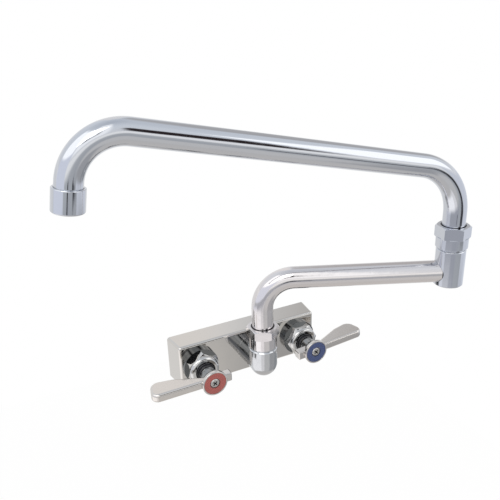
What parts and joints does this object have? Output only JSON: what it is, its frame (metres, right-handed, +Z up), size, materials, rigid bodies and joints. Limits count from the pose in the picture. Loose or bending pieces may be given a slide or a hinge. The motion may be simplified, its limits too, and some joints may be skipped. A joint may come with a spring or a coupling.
{
  "type": "splash mount faucet",
  "caption": "Wall (splash) mounted kitchen faucet with hot and cold paddle levers, quarter-turn ceramic valves and a double-jointed swing spout with an aerator.",
  "frame": {"origin": "centre of the valve body's back face, at the height of the two valve axes", "axes": "+X along the body from the hot valve to the cold valve, +Y into the wall, +Z up"},
  "size_m": [0.3233, 0.1303, 0.2552],
  "materials": {
    "satin_steel": "satin",
    "chrome": "polished",
    "brass": "machined",
    "black_rubber": "matte",
    "dark_plastic": "matte",
    "white_ceramic": "lapped",
    "white_plastic": "matte",
    "red_plastic": "gloss",
    "blue_plastic": "gloss"
  },
  "bodies": {
    "body": {"valve_body": "satin_steel", "hot_bonnet_nut": "chrome", "hot_cartridge": "dark_plastic", "hot_cartridge_ring": "black_rubber", "hot_seat_seal": "black_rubber", "hot_fixed_disc": "white_ceramic", "cold_bonnet_nut": "chrome", "cold_cartridge": "dark_plastic", "cold_cartridge_ring": "black_rubber", "cold_seat_seal": "black_rubber", "cold_fixed_disc": "white_ceramic", "base_nut": "chrome", "base_bush": "dark_plastic"},
    "hot_lever": {"hot_moving_disc": "white_ceramic", "hot_stem": "brass", "hot_stem_rings": "black_rubber", "hot_handle": "satin_steel", "hot_index_ring": "red_plastic", "hot_handle_screw": "chrome"},
    "cold_lever": {"cold_moving_disc": "white_ceramic", "cold_stem": "brass", "cold_stem_rings": "black_rubber", "cold_handle": "satin_steel", "cold_index_ring": "blue_plastic", "cold_handle_screw": "chrome"},
    "first_arm": {"base_ferrule": "brass", "base_rings": "black_rubber", "first_arm_tube": "chrome", "joint_socket": "chrome", "joint_nut": "chrome", "joint_bush": "dark_plastic"},
    "second_arm": {"joint_ferrule": "brass", "joint_rings": "black_rubber", "second_arm_tube": "chrome", "aerator_housing": "chrome", "aerator_washer": "black_rubber", "aerator_insert": "white_plastic", "aerator_screen": "satin_steel"}
  },
  "joints": [
    {"name": "hot_valve", "type": "hinge", "parent": "body", "child": "hot_lever", "pos_m": [-0.0508, -0.04, 0], "axis": [0, -1, 0], "range_deg": [0, 90]},
    {"name": "cold_valve", "type": "hinge", "parent": "body", "child": "cold_lever", "pos_m": [0.0508, -0.04, 0], "axis": [0, 1, 0], "range_deg": [0, 90]},
    {"name": "base_swivel", "type": "hinge", "parent": "body", "child": "first_arm", "pos_m": [0, -0.05, 0.025], "axis": [0, 0, 1], "range_deg": [-165, 35]},
    {"name": "joint_swivel", "type": "hinge", "parent": "first_arm", "child": "second_arm", "pos_m": [0.14583, -0.11584, 0.11], "axis": [0, 0, 1], "continuous": true}
  ]
}
